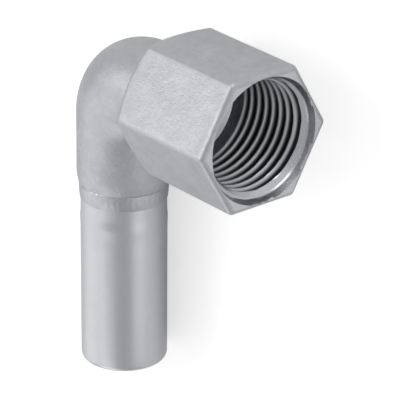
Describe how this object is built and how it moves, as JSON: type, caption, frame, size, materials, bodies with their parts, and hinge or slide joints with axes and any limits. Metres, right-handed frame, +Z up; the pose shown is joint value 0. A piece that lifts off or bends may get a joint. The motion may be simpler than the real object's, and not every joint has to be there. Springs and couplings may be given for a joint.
{
  "type": "press fit elbow",
  "caption": "Right-angle stainless press-fit adapter elbow: plain tube end for a press socket, hexagonal socket with female pipe thread.",
  "frame": {"origin": "on the centre line of the threaded socket, where the full bore of the thread starts, 2.6 mm inside the mouth", "axes": "+Z up, as the fitting lies on the rim of the tube, the side of the leg and a back corner of the socket; the socket's centre line lies in the XZ plane and rises 16.3 degrees towards +X, out of the mouth; the tube runs out towards -Y"},
  "size_m": [0.0466, 0.0646, 0.031],
  "materials": {
    "cast_steel": "blasted casting, satin",
    "weld": "as welded, dull",
    "tube_steel": "drawn tube, smooth satin"
  },
  "bodies": {
    "root": {"cast_body": "cast_steel", "weld_seam": "weld", "spigot_tube": "tube_steel"}
  },
  "joints": []
}
